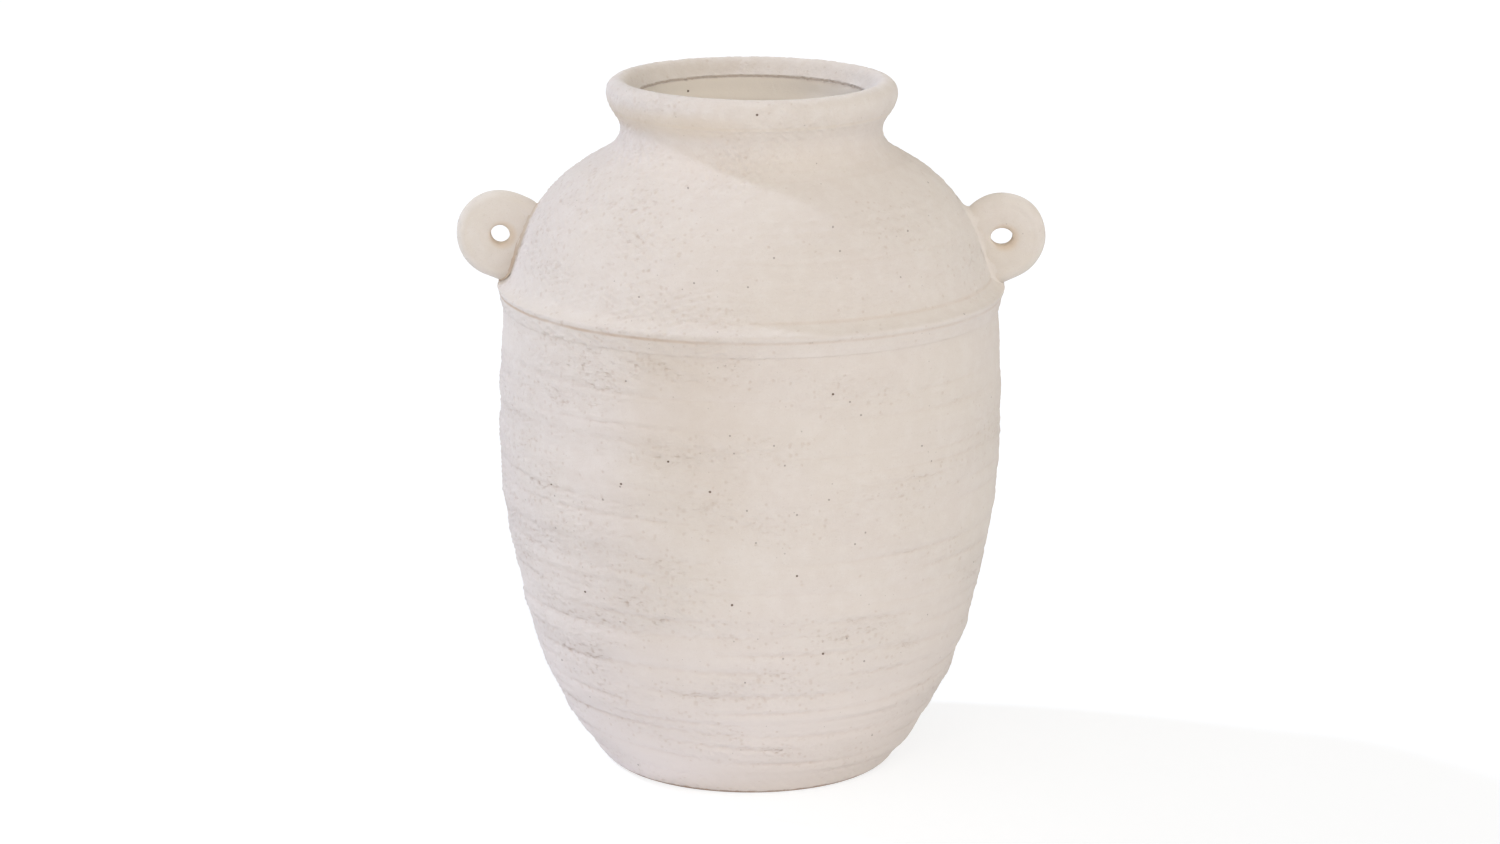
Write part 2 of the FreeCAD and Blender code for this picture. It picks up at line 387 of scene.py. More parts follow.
def patches_of(tree, place, noise, shown, least=0.0, most=1.0):
    """A noise (scale, detail, roughness) carried from the range of it that shows to a range of shares."""
    return ramp_of(tree, noise_of(tree, place, *noise), *shown, least, most)


def laid_over(tree, colour, *layers):
    """A colour with others laid over it in turn, each by its own share."""
    for share, tint in layers:
        colour = blend_of(tree, share, colour, tint)
    return colour


blush_noise, blush_shown = (22, 2), (0.30, 0.72)
cloud_noise, cloud_shown = (150, 4, 0.6), (0.35, 0.75)
dark_grain_noise, dark_grain_shown, dark_grain_share = (1500, 3, 0.7), (0.56, 0.74), 0.20
pale_grain_noise, pale_grain_shown, pale_grain_share = (1150, 2, 0.6), (0.58, 0.72), 0.30
dark_grain_tint = (0.42, 0.33, 0.26, 1)
# Painted light: the clay is made paler and cooler towards the foot, standing in for light thrown up from the
# floor.
underlight_foot, underlight_top, underlight_share = 5 * mm, 115 * mm, 0.8
groove_shade_shown, groove_shade_share, pit_shade_share = (0.02, 0.34), 0.12, 0.50
# Painted shade: grooves and hollows of the relief are tinted darker brown.
groove_shade_tint = (0.50, 0.37, 0.28, 1)
# Painted warm shade: pits and tears are tinted orange-brown.
pit_shade_tint = (0.45, 0.29, 0.18, 1)


def clay_colour_group():
    """The body of the clay: broad blushes from the kiln, soft mottling and single sand grains, with painted
    light that makes it paler and cooler towards the foot, painted shade in the grooves, and painted warm
    shade in pits and tears.
    """
    tree, given, out = new_group("clay colour", ("Clay", "Blush", "Pale", "Bloom"),
                                 ("Mottle", "Hollow", "Torn"))
    place = given["Place"]
    cloud = patches_of(tree, place, cloud_noise, cloud_shown)
    colour = laid_over(
        tree, given["Clay"],
        (patches_of(tree, place, blush_noise, blush_shown), given["Blush"]),
        (product_of(tree, cloud, given["Mottle"]), given["Pale"]),
        (patches_of(tree, place, dark_grain_noise, dark_grain_shown, 0.0, dark_grain_share), dark_grain_tint),
        (patches_of(tree, place, pale_grain_noise, pale_grain_shown, 0.0, pale_grain_share), given["Pale"]),
        (ramp_of(tree, parts_of(tree, place)["Z"], underlight_foot, underlight_top, underlight_share, 0.0), given["Bloom"]),
        (ramp_of(tree, given["Hollow"], *groove_shade_shown, 0.0, groove_shade_share), groove_shade_tint),
        (product_of(tree, given["Torn"], pit_shade_share), pit_shade_tint))
    return finish_group(tree, out, Color=colour)


# Scale, reach in its cell, depth and scarcity of the strong specks and of the faint ones
speck_layers = ((150, 0.07, 0.48, 1.0), (290, 0.085, 0.34, 1.9))
least_reach_share, speck_rim_share = 0.5, 0.5


def iron_specks_group():
    """Grains of iron that burn out to small brown dots, a few strong and many faint."""
    tree, given, out = new_group("iron specks", ("Colour", "Iron"), ("Share",))
    colour = given["Colour"]
    for scale, reach, depth, scarcity in speck_layers:
        cells = add(tree, "ShaderNodeTexVoronoi", {"Vector": given["Place"], "Scale": scale}).outputs
        chance = add(tree, "ShaderNodeSeparateColor", {"Color": cells["Color"]}).outputs
        size = math_of(tree, "MULTIPLY_ADD", chance["Green"], reach, reach * least_reach_share)
        dot = math_of(tree, "SUBTRACT", 1.0, math_of(tree, "DIVIDE", cells["Distance"], size), clamp=True)
        kept = math_of(tree, "LESS_THAN", chance["Red"], product_of(tree, given["Share"], scarcity))
        share = product_of(tree, ramp_of(tree, dot, 0.0, speck_rim_share), kept, depth)
        colour = blend_of(tree, share, colour, given["Iron"])
    return finish_group(tree, out, Color=colour)


coarse_noise, coarse_share, sand_noise = (460, 4, 0.62), 6.0, (1250, 4, 0.62)
pit_scale, pit_edge, calm_pit_chance, rough_pit_chance = 420, (0.12, 0.42), 0.94, 0.58
drag_stretch = (0.42, 0.42, 1.25)
streak_noise, streak_shown = (900, 3, 0.65), (0.50, 0.68)
tear_noise, tear_shown, torn_tear_share = (95, 3, 0.6), (0.46, 0.66), 0.8
groove_edge, off_groove_share = (-0.02, 0.12), 0.35


def sandy_grain_group():
    """The open texture of coarse clay: sand, pits, and short tears dragged round by the fingers."""
    tree, given, out = new_group("sandy grain", (), ("Sand", "Pits", "Drag", "Hollow", "Rough"),
                                 ("Height", "Torn"), "Float")
    place = given["Place"]
    coarse = product_of(tree, noise_of(tree, place, *coarse_noise), given["Rough"])
    sand = math_of(tree, "MULTIPLY_ADD", coarse, coarse_share, noise_of(tree, place, *sand_noise))
    sand = product_of(tree, sand, given["Sand"])
    cells = add(tree, "ShaderNodeTexVoronoi", {"Vector": place, "Scale": pit_scale},
                feature="SMOOTH_F1").outputs
    chance = add(tree, "ShaderNodeSeparateColor", {"Color": cells["Color"]}).outputs["Red"]
    scarce = ramp_of(tree, given["Rough"], 0.0, 1.0, calm_pit_chance, rough_pit_chance)
    pit = product_of(tree, ramp_of(tree, cells["Distance"], *pit_edge, 1.0, 0.0),
                     math_of(tree, "GREATER_THAN", chance, scarce), given["Pits"])
    drawn = add(tree, "ShaderNodeMapping", {"Vector": place, "Scale": drag_stretch}).outputs[0]
    tear = product_of(tree, patches_of(tree, drawn, streak_noise, streak_shown),
                      patches_of(tree, drawn, tear_noise, tear_shown),
                      ramp_of(tree, given["Hollow"], *groove_edge, off_groove_share, 1.0),
                      given["Drag"], given["Rough"])
    height = math_of(tree, "SUBTRACT", math_of(tree, "SUBTRACT", sand, pit), tear)
    torn = math_of(tree, "ADD", pit, product_of(tree, tear, torn_tear_share), clamp=True)
    return finish_group(tree, out, Height=height, Torn=torn)


clay_colour = clay_colour_group()
iron_specks = iron_specks_group()
sandy_grain = sandy_grain_group()
clay_tint = (0.735, 0.662, 0.592, 1)
blush_tint = (0.728, 0.652, 0.590, 1)
pale_tint = (0.800, 0.745, 0.690, 1)
# Painted light from the floor, laid over the lower wall.
underlight_tint = (0.765, 0.692, 0.650, 1)
iron_tint = (0.130, 0.075, 0.045, 1)
grain_height = 0.35 * mm
clay_surface = {"Roughness": 0.92, "Diffuse Roughness": 0.6, "Specular IOR Level": 0.25}


def placed(tree, group, **inputs):
    """What a node group puts out, set into a material with its inputs."""
    return add(tree, "ShaderNodeGroup", inputs, node_tree=group).outputs


def fired_clay(name, tints=(clay_tint, blush_tint, pale_tint), mottle=0.35, share=0.13,
               sand=0.35, pits=0.34, drag=0.55, stains=()):
    """A dull, open, unglazed clay, with stains laid over its colour in turn."""
    finish = bpy.data.materials.new(name)
    finish.use_nodes = True
    tree = finish.node_tree
    shader = tree.nodes["Principled BSDF"]
    place = add(tree, "ShaderNodeTexCoord", {}).outputs["Object"]
    hollow, rough = [add(tree, "ShaderNodeAttribute", {}, attribute_name=label).outputs["Fac"]
                     for label in ("hollow", "rough")]
    grain = placed(tree, sandy_grain, Place=place, Hollow=hollow, Rough=rough,
                   Sand=sand, Pits=pits, Drag=drag)
    body = placed(tree, clay_colour, Place=place, Hollow=hollow, Clay=tints[0], Blush=tints[1], Pale=tints[2],
                  Bloom=underlight_tint, Mottle=mottle, Torn=grain["Torn"])
    specks = {"Share": share, "Iron": iron_tint}
    colour = body["Color"]
    for group, stain_tints in ((iron_specks, specks), *stains):
        colour = placed(tree, group, Place=place, Colour=colour, **stain_tints)["Color"]
    tree.links.new(colour, shader.inputs["Base Color"])
    bump = add(tree, "ShaderNodeBump", {"Height": grain["Height"], "Distance": grain_height, "Strength": 1.0})
    tree.links.new(bump.outputs["Normal"], shader.inputs["Normal"])
    for label, value in clay_surface.items():
        shader.inputs[label].default_value = value
    return finish


def stain(name, label, tint, share_of):
    """A colour that lies over a piece by a share of the place, as a node group and its tint."""
    tree, given, out = new_group(name, ("Colour", label))
    share = share_of(tree, given["Place"])
    return finish_group(tree, out, Color=blend_of(tree, share, given["Colour"], given[label])), {label: tint}


# Painted shade round the foot where it meets the floor.
foot_shade_noise, foot_shade_rise, foot_shade_fade, foot_shade_share = (160, 4, 0.7), 3.2 * mm, (-0.9 * mm, 0.2 * mm), 0.75
foot_shade_tint = (0.36, 0.22, 0.14, 1)


def foot_shade_share_of(tree, place):
    """Painted shade: a ragged brown line round the foot, where it meets the floor."""
    ragged = product_of(tree, noise_of(tree, place, *foot_shade_noise), foot_shade_rise)
    reach = math_of(tree, "SUBTRACT", parts_of(tree, place)["Z"], ragged)
    return ramp_of(tree, reach, *foot_shade_fade, foot_shade_share, 0.0)


foot_shade = stain("painted foot shade", "FootShade", foot_shade_tint, foot_shade_share_of)
key_outer = slab_radius - key_inset
key_inner = key_outer - key_width
key_floor = slab_thickness - key_depth
key_corners = (slab_edge, (key_outer, slab_thickness), (key_outer, key_floor),
               (key_inner, key_floor), (key_inner, slab_thickness))


def straight_runs(*corners, relief=None, step=50 * mm):
    """Plain runs from each corner to the next."""
    return [(spaced((a, b), step), relief) for a, b in zip(corners, corners[1:])]


slab_runs = straight_runs((0, 0), foot_edge, step=underside_step)
slab_runs += [(lower_outline.stretch(0, slab_thickness, heel_step), thrown_relief)]
slab_runs += straight_runs(*key_corners)
slab_runs += straight_runs(key_corners[-1], (0, slab_thickness), step=floor_step)
foot_disc = turned_piece("foot_disc", slab_runs, slab_columns, closed=False)
close_hubs(foot_disc)
foot_clay = fired_clay("turned foot clay", sand=0.26, drag=0.25, stains=[foot_shade])
settle(foot_disc, foot_clay, "foot_clay", "base_slab")

# Lower body
# The tall wall is thrown in one pull from coarse clay, and the fingers leave a spiral of grooves on it.
# Its foot has a ring that presses into the slab, and its top is stepped to take the shoulder.
wall_thickness = 6.2 * mm
wall_foot_width = 9.0 * mm
ledge_width = 1.6 * mm
upper_wall = 5.0 * mm
body_step_depth = 3.0 * mm
body_step_width = 2.6 * mm
wall_columns = 250
wall_outer_step = 0.61 * mm
wall_inner_step = 4.2 * mm
wall_foot = (slab_radius - wall_foot_width, slab_thickness)
dome_foot_radius = wall_top[0] - ledge_width
dome_inner_radius = dome_foot_radius - upper_wall
step_radius = dome_inner_radius + body_step_width
step_floor = body_joint_height - body_step_depth
wall_step = (wall_top[0] - wall_thickness, step_floor)
wall_lining = Outline([wall_foot] + [lower_outline.beside(z, -wall_thickness) for _, z in wall_points]
                      + [wall_step])
inner_rings = hand_waves(11, 10, (600 * mm, 3000 * mm), (9 * mm, 16 * mm))
inner_ring_depth = 0.35 * mm


def lining_relief(turn, height):
    """The inside is left as thrown, with wide finger rings."""
    return inner_ring_depth * inner_rings(turn, height)


wall_runs = [(lower_outline.stretch(slab_thickness, body_joint_height, wall_outer_step), thrown_relief)]
wall_runs += straight_runs(wall_top, (step_radius, body_joint_height), (step_radius, step_floor), wall_step)
wall_runs += [(wall_lining.stretch(slab_thickness, step_floor, wall_inner_step)[::-1], lining_relief)]
wall_runs += straight_runs(wall_foot, *reversed(key_corners))
thrown_wall = turned_piece("thrown_wall", wall_runs, wall_columns)

# Specks that can be told apart, in the photograph's own pixels, and the camera that took it
picture_width, picture_height = 1500, 844
camera_place = Vector((0, -1.85, 0.600))
camera_pitch = math.radians(13.8)
camera_roll = math.atan(0.00517)
focal_pixels = 4484
speck_reach = (1.0, 0.3, 1.0)
wall_speck_pixels = ((668, 462), (710, 492), (621, 484), (551, 485), (585, 592), (732, 605), (797, 576),
                     (833, 394), (823, 654))
faint_speck_pixels = ((861, 415), (829, 500), (745, 683), (872, 735), (922, 446), (734, 454), (730, 436),
                      (855, 544), (747, 511), (562, 660), (774, 446), (785, 466), (756, 543), (797, 515),
                      (850, 402), (620, 487), (626, 381))


def spot_at(pixel, line, side):
    """The place on a turned line that a pixel shows, on the jar's front or, with side -1, inside its back."""
    right = (pixel[0] - picture_width / 2) / focal_pixels
    up = (picture_height / 2 - pixel[1]) / focal_pixels
    across = right * math.cos(camera_roll) - up * math.sin(camera_roll)
    rise = right * math.sin(camera_roll) + up * math.cos(camera_roll)
    deep = math.cos(camera_pitch) + rise * math.sin(camera_pitch)
    fall = rise * math.cos(camera_pitch) - math.sin(camera_pitch)
    radii, heights = line.T
    reach = (heights - camera_place.z) / fall
    x, y = reach * across, camera_place.y + reach * deep
    nearest = np.argmin(np.abs(np.hypot(x, y) - radii) + np.maximum(side * y, 0))
    return (x[nearest], y[nearest], heights[nearest])


def vector_of(tree, operation, *values):
    return add(tree, "ShaderNodeVectorMath", dict(enumerate(values)), operation=operation).outputs


strong_speck, strong_speck_depth = 0.62 * mm, 0.93
faint_speck, faint_speck_depth = 0.52 * mm, 0.5
speck_noise, speck_ragged_share = (1400, 2), 0.6
speck_edge_shares = (0.85, 1.3)


def marked_specks(name, pixels, line, size=strong_speck, depth=strong_speck_depth, side=1):
    """Specks that are told apart one by one, each as deep as the relief may move the face."""
    def share_of(tree, place):
        ragged = product_of(tree, noise_of(tree, place, *speck_noise), size * speck_ragged_share)
        flat = vector_of(tree, "MULTIPLY", place, speck_reach)["Vector"]
        nearest = None
        for pixel in pixels:
            spot = tuple(a * b for a, b in zip(spot_at(pixel, line, side), speck_reach))
            away = vector_of(tree, "DISTANCE", flat, spot)["Value"]
            nearest = away if nearest is None else math_of(tree, "MINIMUM", nearest, away)
        start, end = (size * share for share in speck_edge_shares)
        return ramp_of(tree, math_of(tree, "ADD", nearest, ragged), start, end, depth, 0.0)

    return stain(name, "Iron", iron_tint, share_of)


wall_specks = marked_specks("specks on the wall", wall_speck_pixels, lower_outline.line)
faint_specks = marked_specks("faint specks on the wall", faint_speck_pixels, lower_outline.line,
                             faint_speck, faint_speck_depth)
# Painted shadow of the cordon on the wall and the cordon's bevel, as a warm tan.
ledge_shade_tint = (0.66, 0.56, 0.45, 1)
ledge_shade_left, ledge_shade_right = (-62 * mm, -34 * mm), (-18 * mm, 14 * mm)
ledge_shade_rise = (80 * mm, 185 * mm)
ledge_shade_top = (body_joint_height + 6.5 * mm, body_joint_height + 10 * mm)
ledge_shade_noise, ledge_shade_shown, ledge_shade_shares = (32, 3, 0.6), (0.3, 0.65), (0.2, 0.36)
ledge_shade_far_share = 0.25


def ledge_shade_share_of(tree, place):
    """Painted warm shade: patches of tan below the cordon, left of the middle, strongest near its top."""
    parts = parts_of(tree, place)
    return product_of(tree, ramp_of(tree, parts["X"], *ledge_shade_left),
                      ramp_of(tree, parts["X"], *ledge_shade_right, 1.0, ledge_shade_far_share),
                      ramp_of(tree, parts["Z"], *ledge_shade_rise, ledge_shade_far_share, 1.0),
                      ramp_of(tree, parts["Z"], *ledge_shade_top, 1.0, 0.0),
                      patches_of(tree, place, ledge_shade_noise, ledge_shade_shown, *ledge_shade_shares))


ledge_shade = stain("painted ledge shade", "Tan", ledge_shade_tint, ledge_shade_share_of)
wall_clay = fired_clay("thrown wall clay", drag=1.0, stains=(ledge_shade, faint_specks, wall_specks))
settle(thrown_wall, wall_clay, "thrown_clay", "lower_body")

# Base joint coil
# A thin roll of clay is pressed into the corner of floor and wall, so that the joint doesn't open in drying.
# The fingertip leaves it dented all the way round.
base_coil_radius = 4.5 * mm
base_coil_lift = 1.5 * mm
coil_columns = 360
coil_points = 40
circle_points = 720
finger_width = 13 * mm
dent_depth = 0.45 * mm


def coil_piece(name, middle, radius, lies_free, seat, press_seed):
    """A roll with a free round face, closed by the straight runs of its seat."""
    angles = np.linspace(0, whole_turn, circle_points, endpoint=False)
    circle = np.stack((middle[0] + radius * np.cos(angles), middle[1] + radius * np.sin(angles)), axis=1)
    free = np.array([lies_free(r, z) for r, z in circle])
    first = int(np.argmax(free & ~np.roll(free, 1)))
    order = (first + np.arange(int(free.sum()))) % len(angles)
    arc = spaced(circle[order], radius * whole_turn / coil_points)
    presses = round(whole_turn * middle[0] / finger_width)
    uneven = hand_waves(press_seed, 8, (30 * mm, 200 * mm), (50 * mm, 90 * mm))

    def pressed(turn, height):
        return -dent_depth * (0.5 + 0.5 * np.cos(presses * turn + uneven(turn, 0 * height)))

    corners = [tuple(arc[-1])] + list(seat) + [tuple(arc[0])]
    return turned_piece(name, [(arc, pressed)] + straight_runs(*corners), coil_columns)


base_roll = coil_piece("floor_joint_roll", (wall_foot[0], slab_thickness + base_coil_lift), base_coil_radius,
                       lambda r, z: z > slab_thickness and r < wall_lining.radius_at(z), (wall_foot,), 21)
inner_clay = fired_clay("inner roll clay", sand=0.4, drag=0.3)
settle(base_roll, inner_clay, "inner_clay", "base_joint_coil")

# Shoulder dome
# The upper section is thrown by itself, turned over and stepped into the top of the wall.
# Two seats are left on it, one for the neck at the top and one for the cordon at its foot.
band_top_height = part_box("shoulder_band")[1].z
lip_overhang = 3.0 * mm
lip_height = 8.8 * mm
band_lean = 4.2 * mm
band_edge = 0.8 * mm
dome_rise = 58.8 * mm
neck_bore = 49.7 * mm
neck_height = 7.4 * mm
neck_flare = 3.1 * mm
flare_outline_share = (0.35, 0.66)
dome_outline_shares = ((0.898, 0.228), (0.769, 0.432), (0.610, 0.575), (0.450, 0.687))
neck_joint_share = (0.266, 0.779)
neck_outline_shares = ((0.117, 0.847), (0.038, 0.910))
neck_flare_share = (0.32, 0.55)
waist = (neck_bore + upper_wall, band_top_height + dome_rise)
rim_seat = (waist[0] + neck_flare, waist[1] + neck_height)
band_lip = (wall_top[0] + lip_overhang, body_joint_height + lip_height)
band_top = (wall_top[0] - band_lean, band_top_height)
dome_low = (waist[0], band_top_height)
dome_high = (band_top[0], waist[1])
dome_points = between(dome_low, dome_high, *dome_outline_shares, neck_joint_share, *neck_outline_shares)
neck_joint = dome_points[len(dome_outline_shares)]
upper_outline = Outline([band_lip] + between(band_top, band_lip, flare_outline_share) + [band_top]
                        + dome_points + [waist] + between(waist, rim_seat, neck_flare_share) + [rim_seat])
joint_inside = upper_outline.beside(neck_joint[1], -upper_wall)
dome_step = (dome_inner_radius, step_floor)
upper_lining = Outline([dome_step]
                       + [upper_outline.beside(z, -upper_wall) for _, z in [band_top] + dome_points]
                       + [(neck_bore, waist[1])])
dome_columns = 480
dome_outer_step = 0.55 * mm
dome_inner_step = 3.2 * mm
band_back = (band_top[0] - band_edge, band_top_height)
dome_lines = hand_waves(23, 18, (700 * mm, 3000 * mm), (2.0 * mm, 5 * mm))
dome_line_depth = 0.055 * mm
dome_line_side, dome_line_share = math.radians(-25), 0.15
dome_line_fade = 8 * mm


def dome_relief(turn, height):
    """The thrown face, with lines of the turning tool on its right, that die out at both seats."""
    side = np.clip(dome_line_share + np.cos(turn - dome_line_side), 0, 1)
    free = np.clip((height - band_top_height) / dome_line_fade, 0, 1)
    free = free * np.clip((neck_joint[1] - height) / dome_line_fade, 0, 1)
    return thrown_relief(turn, height) + free * side * dome_line_depth * dome_lines(turn, height)


dome_runs = [(upper_outline.stretch(band_top_height, neck_joint[1], dome_outer_step), dome_relief)]
dome_runs += straight_runs(neck_joint, (joint_inside[0], neck_joint[1]), joint_inside)
dome_runs += [(upper_lining.stretch(step_floor, joint_inside[1], dome_inner_step)[::-1], lining_relief)]
dome_runs += straight_runs(dome_step, (step_radius, step_floor), (step_radius, body_joint_height),
                           (dome_foot_radius, body_joint_height), band_back, band_top)
domed_shoulder = turned_piece("domed_shoulder", dome_runs, dome_columns)
dome_speck_pixels = ((639, 297), (694, 283), (748, 287), (774, 258), (840, 251), (833, 227), (908, 231),
                     (718, 176), (688, 188))
dome_specks = marked_specks("specks on the shoulder", dome_speck_pixels, upper_outline.line,
                            faint_speck, faint_speck_depth)
dome_clay = fired_clay("shoulder clay", drag=0.7, stains=[dome_specks])
settle(domed_shoulder, dome_clay, "thrown_clay", "shoulder_dome")

# Body joint coil
# A second roll is pressed over the joint of wall and shoulder on the inside, before the neck closes the jar.
body_coil_radius = 4.5 * mm
body_coil_inset = 1.0 * mm
body_roll_middle = (dome_inner_radius - body_coil_inset, body_joint_height - body_step_depth / 2)


def clear_of_joint(radius, height):
    lining = wall_lining if height < step_floor else upper_lining
    return radius < lining.radius_at(height)


body_roll = coil_piece("shoulder_joint_roll", body_roll_middle, body_coil_radius, clear_of_joint,
                       (wall_step,), 22)
settle(body_roll, inner_clay, "inner_clay", "body_joint_coil")

# Shoulder band
# The cordon is a strip of clay laid round the joint and drawn out to a thin lip with the fingertips.
# It is bevelled underneath, and its lip wavers a little where the fingers moved on.
band_foot_overhang = 0.4 * mm
lip_edge = 0.9 * mm
lip_edge_slope = 0.2 * mm
bevel_outline_shares = ((0.30, 0.36), (0.52, 0.68), (0.66, 0.80))
band_columns = 480
band_step = 0.3 * mm
lip_soft_rows = 6
crease_heights = (203.6 * mm, 210.8 * mm)
crease_depths = (0.16 * mm, 0.24 * mm)
crease_half_widths = (0.55 * mm, 0.5 * mm)
crease_side, crease_side_share, crease_least_share = math.radians(-35), 0.35, 0.1
band_foot = (wall_top[0] + band_foot_overhang, body_joint_height)
lip_under = (band_lip[0] - lip_edge_slope, band_lip[1] - lip_edge)
bevel = smooth_line([band_foot] + between(band_foot, lip_under, *bevel_outline_shares) + [lip_under])
lip_waver = hand_waves(31, 16, (25 * mm, 140 * mm), (30 * mm, 60 * mm))
lip_waver_depth = 0.12 * mm
waver_middle_share, waver_spread_share, waver_end_shares = 0.8, 0.3, (0.4, 1.3)


def band_relief(turn, height):
    """The thrown face, with the lip drawn out unevenly between two creases of the fingertip."""
    waver = lip_waver(turn, 0 * height)
    drawn = np.interp(height, (body_joint_height, lip_under[1], band_lip[1], band_top_height), (0, 1, 1, 0))
    lower, upper = (depth * np.exp(-((height - middle) / half) ** 2)
                    for middle, depth, half in zip(crease_heights, crease_depths, crease_half_widths))
    pressed = lower + upper * np.clip(crease_side_share + np.cos(turn - crease_side), crease_least_share, 1)
    pressed = pressed * np.clip(waver_middle_share + waver_spread_share * waver, *waver_end_shares)
    return thrown_relief(turn, height) + drawn * lip_waver_depth * lip_waver(turn, height) - pressed


# Painted shade in the creases of the cordon.
crease_shade_tint = (0.56, 0.39, 0.25, 1)
crease_lift = 0.1 * mm
crease_fade, upper_crease_fade = (0.15 * mm, 1.1 * mm), (0.3 * mm, 1.0 * mm)
crease_left, upper_crease_right = (-70 * mm, 0.0), (-20 * mm, 30 * mm)
crease_left_share, crease_right_share, upper_crease_share = 0.7, 0.22, 0.11
crease_noise, crease_shown, crease_gap_share = (30, 3, 0.6), (0.30, 0.62), 0.4


def distance_of(tree, value, middle):
    """How far a value lies from a middle, to either side."""
    return math_of(tree, "ABSOLUTE", math_of(tree, "SUBTRACT", value, middle))


def crease_share_of(tree, place):
    """Painted shade: a thin broken brown line in the lower crease, strongest on the left, and a faint one in
    the upper crease's right.
    """
    parts = parts_of(tree, place)
    off, over = (distance_of(tree, parts["Z"], height)
                 for height in (crease_heights[0] + crease_lift, crease_heights[1]))
    lower = product_of(tree, ramp_of(tree, off, *crease_fade, 1.0, 0.0),
                       patches_of(tree, place, crease_noise, crease_shown, crease_gap_share, 1.0),
                       ramp_of(tree, parts["X"], *crease_left, crease_left_share, crease_right_share))
    upper = product_of(tree, ramp_of(tree, over, *upper_crease_fade, 1.0, 0.0),
                       ramp_of(tree, parts["X"], *upper_crease_right, 0.0, upper_crease_share))
    return math_of(tree, "MAXIMUM", lower, upper)


crease_shade_line = stain("painted crease shade", "Brown", crease_shade_tint, crease_share_of)


def softened(points, rows):
    """The same line with its corners rubbed round, and its two ends where they were."""
    padded = np.concatenate(([2 * points[0] - p for p in points[rows:0:-1]], points,
                             [2 * points[-1] - p for p in points[-2:-rows - 2:-1]]))
    kernel = np.hanning(2 * rows + 3)[1:-1]
    return np.stack([np.convolve(padded[:, i], kernel / kernel.sum(), "valid") for i in (0, 1)], axis=1)


band_outside = np.concatenate((bevel[:-1], [lip_under],
                               upper_outline.stretch(band_lip[1], band_top_height, band_step)))
band_runs = [(softened(spaced(band_outside, band_step), lip_soft_rows), band_relief)]
band_runs += straight_runs(band_top, band_back, (dome_foot_radius, body_joint_height), band_foot)
shoulder_cordon = turned_piece("shoulder_cordon", band_runs, band_columns)
band_clay = fired_clay("cordon clay", drag=0.4, stains=(ledge_shade, crease_shade_line))
settle(shoulder_cordon, band_clay, "thrown_clay", "shoulder_band")

# Neck collar
# The short neck is thrown as a ring, luted into its seat on the shoulder and turned smooth while it spins.
# A tongue stands up from it, hidden in the rim.
tongue_height = 5.6 * mm
tongue_width = 4.3 * mm
neck_columns = 480
neck_step = 0.45 * mm
tongue_top = rim_seat[1] + tongue_height
neck_lines = hand_waves(41, 20, (900 * mm, 4000 * mm), (1.4 * mm, 4 * mm))
neck_line_depth = 0.045 * mm


def neck_relief(turn, height):
    """The thrown face, with fine lines of the turning tool."""
    return thrown_relief(turn, height) + neck_line_depth * neck_lines(turn, height)


# Painted light: the inside of the mouth is made paler.
inner_light_reach, inner_light_full = 1.3 * mm, 0.3 * mm
lip_foot, lip_fade = tongue_top, 0.2 * mm
crease_height = rim_seat[1] + 1.6 * mm
outside_fade = 1.0 * mm
# Painted shadow: tan on the neck's left, under the rim.
rim_shadow_fade, rim_shadow_side, rim_shadow_side_shares = (1.5 * mm, 8.0 * mm), (-25 * mm, 12 * mm), (0.34, 0.08)
line_fade, line_share = (0.2 * mm, 1.2 * mm), 0.14
# Painted shade: a ragged brown line in the corner under the mouth's lip.
brown_rise, brown_lift, brown_fade = 1.6 * mm, 1.5 * mm, (0.15 * mm, 0.6 * mm)
brown_noise, brown_share, brown_reach = (420, 4, 0.7), 0.4, (0.9 * mm, 0.2 * mm)
# Tints of the mouth's painted light and shade, and of the faint crease line.
mouth_tints = {"InnerLight": (0.95, 0.87, 0.77, 1), "Brown": (0.40, 0.25, 0.15, 1), "Tan": (0.76, 0.63, 0.45, 1)}


def mouth_light_and_shade_group():
    """Painted light: the inside of the mouth is made paler, standing in for light that reaches it. Painted
    shade: a ragged brown line under the lip, and tan under the rim on the left; also a faint tan line along
    the crease between neck and rim."""
    tree, given, out = new_group("mouth painted light and shade", ("Colour", "InnerLight", "Brown", "Tan"))
    parts = parts_of(tree, given["Place"])
    radius = vector_of(tree, "MULTIPLY", given["Place"], (1, 1, 0))["Vector"]
    radius = vector_of(tree, "LENGTH", radius)["Value"]
    inside = product_of(tree, ramp_of(tree, radius, neck_bore + inner_light_reach, neck_bore + inner_light_full),
                        ramp_of(tree, parts["Z"], lip_foot, lip_foot + lip_fade, 1.0, 0.0))
    outside = ramp_of(tree, radius, waist[0] - outside_fade, waist[0])
    off = distance_of(tree, parts["Z"], crease_height)
    wash = product_of(tree, ramp_of(tree, off, *rim_shadow_fade, 1.0, 0.0),
                      ramp_of(tree, parts["X"], *rim_shadow_side, *rim_shadow_side_shares), outside)
    line = product_of(tree, ramp_of(tree, off, *line_fade, line_share, 0.0), outside)
    ragged = product_of(tree, noise_of(tree, given["Place"], *brown_noise), brown_rise)
    under = distance_of(tree, math_of(tree, "ADD", parts["Z"], ragged), lip_foot + brown_lift)
    brown = product_of(tree, ramp_of(tree, under, *brown_fade, brown_share, 0.0),
                       ramp_of(tree, radius, *(neck_bore + reach for reach in brown_reach)))
    return finish_group(tree, out, Color=laid_over(
        tree, given["Colour"], (inside, given["InnerLight"]), (wash, given["Tan"]), (line, given["Tan"]),
        (brown, given["Brown"])))


